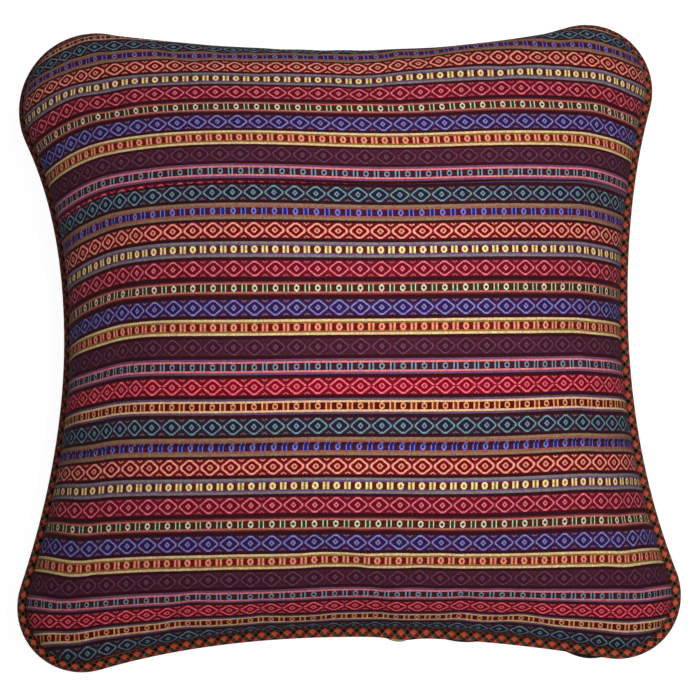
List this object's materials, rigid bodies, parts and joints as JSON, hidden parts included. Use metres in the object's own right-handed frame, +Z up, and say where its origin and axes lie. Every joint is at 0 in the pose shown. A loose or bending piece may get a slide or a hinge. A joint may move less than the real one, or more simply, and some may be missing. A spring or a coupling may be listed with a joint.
{
  "type": "square throw pillow",
  "caption": "Square filled throw pillow with a crowned striped woven front, plain dark back, drawn-in sides and corded piping round its seam.",
  "frame": {"origin": "on the floor, under the middle of the pillow's overall plan", "axes": "+Z up out of the front face, the pillow lying on its back; +Y towards the upper edge of the front; +X towards its right edge, seen from the front"},
  "size_m": [0.4512, 0.4462, 0.1417],
  "materials": {
    "cover": "matte woven cotton, multicoloured stripes on the front, plain black on the back",
    "piping": "matte woven check cut on the bias over a cord"
  },
  "bodies": {
    "root": {"cushion": "cover", "piping": "piping"}
  },
  "joints": []
}
